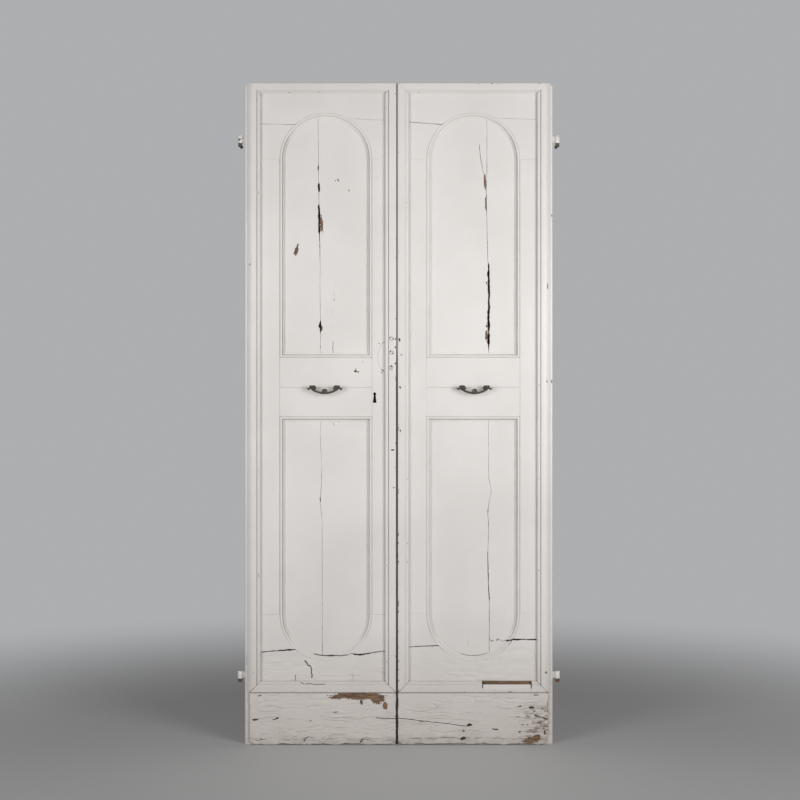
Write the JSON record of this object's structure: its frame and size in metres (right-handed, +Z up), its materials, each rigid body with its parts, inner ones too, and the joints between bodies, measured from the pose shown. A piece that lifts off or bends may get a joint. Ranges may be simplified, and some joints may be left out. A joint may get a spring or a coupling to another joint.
{
  "type": "double door",
  "caption": "Old painted double door: two framed leaves with arched panels and edge mouldings, swinging on pintle hinges, with cast pulls and a rim lock.",
  "frame": {"origin": "on the floor line under the middle of the pair, halfway through its depth", "axes": "+Z up, the moulded front with the pulls faces -Y, +X to the right as seen from the front"},
  "size_m": [1.0514, 0.104, 2.15],
  "materials": {
    "painted_wood": "aged off-white paint",
    "painted_iron": "overpainted iron",
    "cast_pull": "dull dark casting",
    "forged_iron": "dark forged iron"
  },
  "bodies": {
    "pintles": {"left_upper_pintle": "forged_iron", "left_lower_pintle": "forged_iron", "right_upper_pintle": "forged_iron", "right_lower_pintle": "forged_iron"},
    "left_leaf": {"left_hinge_stile": "painted_wood", "left_meeting_stile": "painted_wood", "left_top_rail": "painted_wood", "left_bottom_rail": "painted_wood", "left_upper_lock_rail": "painted_wood", "left_lower_lock_rail": "painted_wood", "left_top_outer_spandrel": "painted_wood", "left_top_inner_spandrel": "painted_wood", "left_bottom_outer_spandrel": "painted_wood", "left_bottom_inner_spandrel": "painted_wood", "left_upper_outer_board": "painted_wood", "left_upper_inner_board": "painted_wood", "left_lower_outer_board": "painted_wood", "left_lower_inner_board": "painted_wood", "left_upper_panel_moulding": "painted_wood", "left_lower_panel_moulding": "painted_wood", "left_top_moulding": "painted_wood", "left_bottom_moulding": "painted_wood", "left_outer_moulding": "painted_wood", "left_inner_moulding": "painted_wood", "left_kick_board": "painted_wood", "left_upper_hinge_eye": "painted_iron", "left_lower_hinge_eye": "painted_iron", "left_pull_handle": "cast_pull", "lock_case": "forged_iron"},
    "right_leaf": {"right_hinge_stile": "painted_wood", "right_meeting_stile": "painted_wood", "right_top_rail": "painted_wood", "right_bottom_rail": "painted_wood", "right_upper_lock_rail": "painted_wood", "right_lower_lock_rail": "painted_wood", "right_top_outer_spandrel": "painted_wood", "right_top_inner_spandrel": "painted_wood", "right_bottom_outer_spandrel": "painted_wood", "right_bottom_inner_spandrel": "painted_wood", "right_upper_outer_board": "painted_wood", "right_upper_inner_board": "painted_wood", "right_lower_outer_board": "painted_wood", "right_lower_inner_board": "painted_wood", "right_upper_panel_moulding": "painted_wood", "right_lower_panel_moulding": "painted_wood", "right_top_moulding": "painted_wood", "right_bottom_moulding": "painted_wood", "right_outer_moulding": "painted_wood", "right_inner_moulding": "painted_wood", "right_kick_board": "painted_wood", "right_upper_hinge_eye": "painted_iron", "right_lower_hinge_eye": "painted_iron", "right_pull_handle": "cast_pull", "lock_keeper": "forged_iron"},
    "lock_bolt": {"lock_bolt": "forged_iron"}
  },
  "joints": [
    {"name": "left_leaf_swing", "type": "hinge", "parent": "pintles", "child": "left_leaf", "pos_m": [-0.5175, 0, 0], "axis": [0, 0, -1], "range_deg": [0, 110]},
    {"name": "right_leaf_swing", "type": "hinge", "parent": "pintles", "child": "right_leaf", "pos_m": [0.5175, 0, 0], "axis": [0, 0, 1], "range_deg": [0, 110]},
    {"name": "lock_bolt_slide", "type": "slide", "parent": "left_leaf", "child": "lock_bolt", "axis": [1, 0, 0], "range_m": [0, 0.02]}
  ]
}
